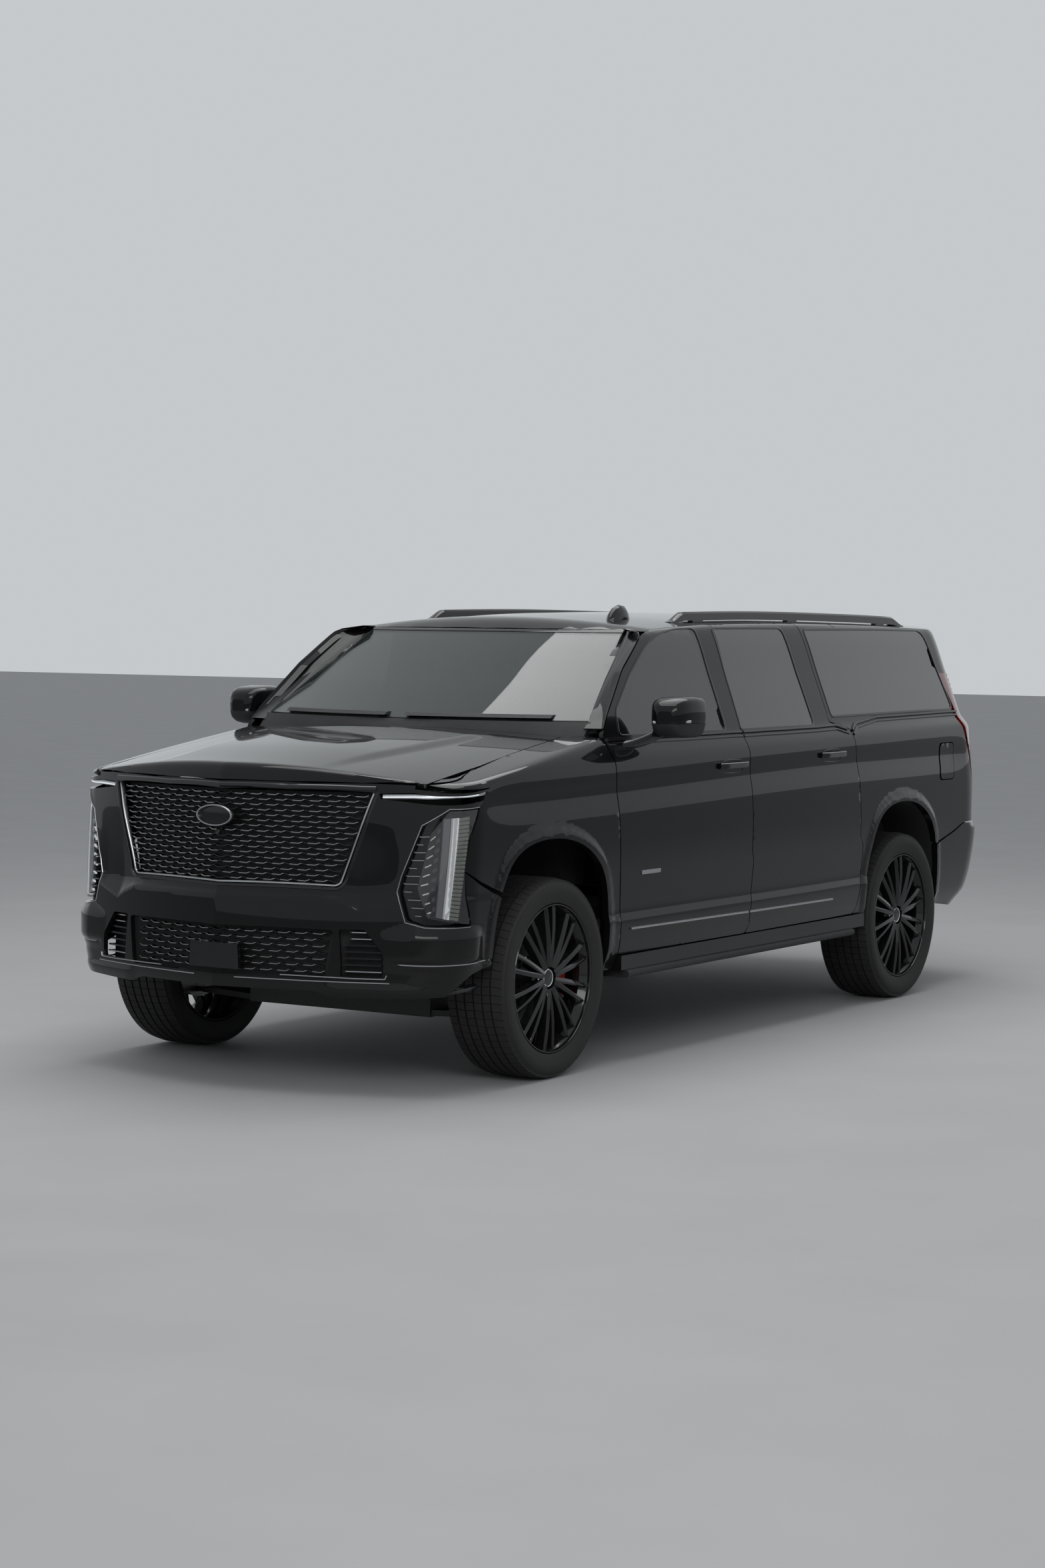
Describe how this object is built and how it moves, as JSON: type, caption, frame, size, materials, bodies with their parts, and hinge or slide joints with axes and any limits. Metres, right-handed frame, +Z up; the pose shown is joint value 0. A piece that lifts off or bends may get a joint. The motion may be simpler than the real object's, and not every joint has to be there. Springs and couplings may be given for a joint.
{
  "type": "full-size sport utility vehicle",
  "caption": "Long-wheelbase family SUV with a hollow cabin, hinged doors, hood, liftgate and fuel door, steered front wheels and rolling wheels.",
  "frame": {"origin": "on the road, below the centre of the vehicle's outline", "axes": "+X the vehicle's left, +Y its rear, +Z up"},
  "size_m": [2.45, 5.773, 1.9759],
  "materials": {
    "paint": "gloss clear coat",
    "gloss_trim": "gloss black moulded trim",
    "trim": "grained black plastic",
    "grille_metal": "gloss black mesh with satin edges",
    "clear_glass": "clear laminated glass",
    "dark_glass": "privacy tinted glass",
    "lamp_lens": "clear lens over bright reflectors",
    "red_lens": "red lens",
    "tyre": "black rubber",
    "wheel": "gloss black alloy",
    "steel": "machined and cast steel",
    "chassis": "satin black underbody paint",
    "exhaust": "dull stainless steel",
    "engine": "plain block",
    "leather": "black perforated leather",
    "soft_trim": "soft black padding"
  },
  "bodies": {
    "body": {"windshield": "clear_glass", "quarter_glasses": "dark_glass", "body_side_left": "paint", "body_side_right": "paint", "roof": "paint", "tail_lamps": "red_lens", "front_bumper": "paint", "headlamps": "lamp_lens", "grille": "grille_metal", "rear_bumper": "paint", "running_boards": "trim", "roof_rails": "gloss_trim", "roof_antenna": "gloss_trim", "wipers": "trim", "frame": "chassis", "front_arms": "chassis", "rear_axle": "chassis", "floor": "chassis", "engine": "engine", "radiator": "trim", "front_cradle": "chassis", "tow_receiver": "chassis", "exhaust": "exhaust", "propshaft": "steel", "front_seats": "leather", "rear_seats": "leather", "dashboard": "soft_trim", "steering_wheel": "soft_trim", "fender_left": "paint", "fender_right": "paint"},
    "door_front_left": {"door_front_left": "paint", "glass_front_left": "clear_glass", "mirror_left": "paint"},
    "door_rear_left": {"door_rear_left": "paint", "glass_rear_left": "dark_glass"},
    "knuckle_left": {"knuckle_left": "steel"},
    "wheel_front_left": {"tyre_front_left": "tyre", "rim_front_left": "wheel"},
    "wheel_rear_left": {"tyre_rear_left": "tyre", "rim_rear_left": "wheel"},
    "door_front_right": {"door_front_right": "paint", "glass_front_right": "clear_glass", "mirror_right": "paint"},
    "door_rear_right": {"door_rear_right": "paint", "glass_rear_right": "dark_glass"},
    "knuckle_right": {"knuckle_right": "steel"},
    "wheel_front_right": {"tyre_front_right": "tyre", "rim_front_right": "wheel"},
    "wheel_rear_right": {"tyre_rear_right": "tyre", "rim_rear_right": "wheel"},
    "liftgate": {"liftgate": "paint", "rear_glass": "dark_glass"},
    "hood": {"hood": "paint"},
    "fuel_door": {"fuel_door": "paint"}
  },
  "joints": [
    {"name": "door_front_left_hinge", "type": "hinge", "parent": "body", "child": "door_front_left", "pos_m": [1.005, -1.29, 0.5], "axis": [0, 0, -1], "range_deg": [0, 65]},
    {"name": "door_rear_left_hinge", "type": "hinge", "parent": "body", "child": "door_rear_left", "pos_m": [1.005, -0.087, 0.5], "axis": [0, 0, -1], "range_deg": [0, 65]},
    {"name": "door_front_right_hinge", "type": "hinge", "parent": "body", "child": "door_front_right", "pos_m": [-1.005, -1.29, 0.5], "axis": [0, 0, 1], "range_deg": [0, 65]},
    {"name": "door_rear_right_hinge", "type": "hinge", "parent": "body", "child": "door_rear_right", "pos_m": [-1.005, -0.087, 0.5], "axis": [0, 0, 1], "range_deg": [0, 65]},
    {"name": "liftgate_hinge", "type": "hinge", "parent": "body", "child": "liftgate", "pos_m": [0, 2.506, 1.901], "axis": [1, 0, 0], "range_deg": [0, 80]},
    {"name": "hood_hinge", "type": "hinge", "parent": "body", "child": "hood", "pos_m": [0, -1.56, 1.388], "axis": [-1, 0, 0], "range_deg": [0, 48]},
    {"name": "fuel_door_hinge", "type": "hinge", "parent": "body", "child": "fuel_door", "pos_m": [0.98431, 2.006, 1.183], "axis": [0, 0, -1], "range_deg": [0, 85]},
    {"name": "steer_left", "type": "hinge", "parent": "body", "child": "knuckle_left", "pos_m": [0.811, -1.872, 0.419], "axis": [0, 0, 1], "range_deg": [-32, 32]},
    {"name": "steer_right", "type": "hinge", "parent": "body", "child": "knuckle_right", "pos_m": [-0.811, -1.872, 0.419], "axis": [0, 0, 1], "range_deg": [-32, 32]},
    {"name": "wheel_front_left_spin", "type": "hinge", "parent": "knuckle_left", "child": "wheel_front_left", "pos_m": [0.866, -1.872, 0.419], "axis": [1, 0, 0], "continuous": true},
    {"name": "wheel_front_right_spin", "type": "hinge", "parent": "knuckle_right", "child": "wheel_front_right", "pos_m": [-0.866, -1.872, 0.419], "axis": [1, 0, 0], "continuous": true},
    {"name": "wheel_rear_left_spin", "type": "hinge", "parent": "body", "child": "wheel_rear_left", "pos_m": [0.866, 1.534, 0.419], "axis": [1, 0, 0], "continuous": true},
    {"name": "wheel_rear_right_spin", "type": "hinge", "parent": "body", "child": "wheel_rear_right", "pos_m": [-0.866, 1.534, 0.419], "axis": [1, 0, 0], "continuous": true}
  ],
  "couplings": [
    {"joint": "steer_right", "follows": "steer_left", "ratio": 1}
  ]
}
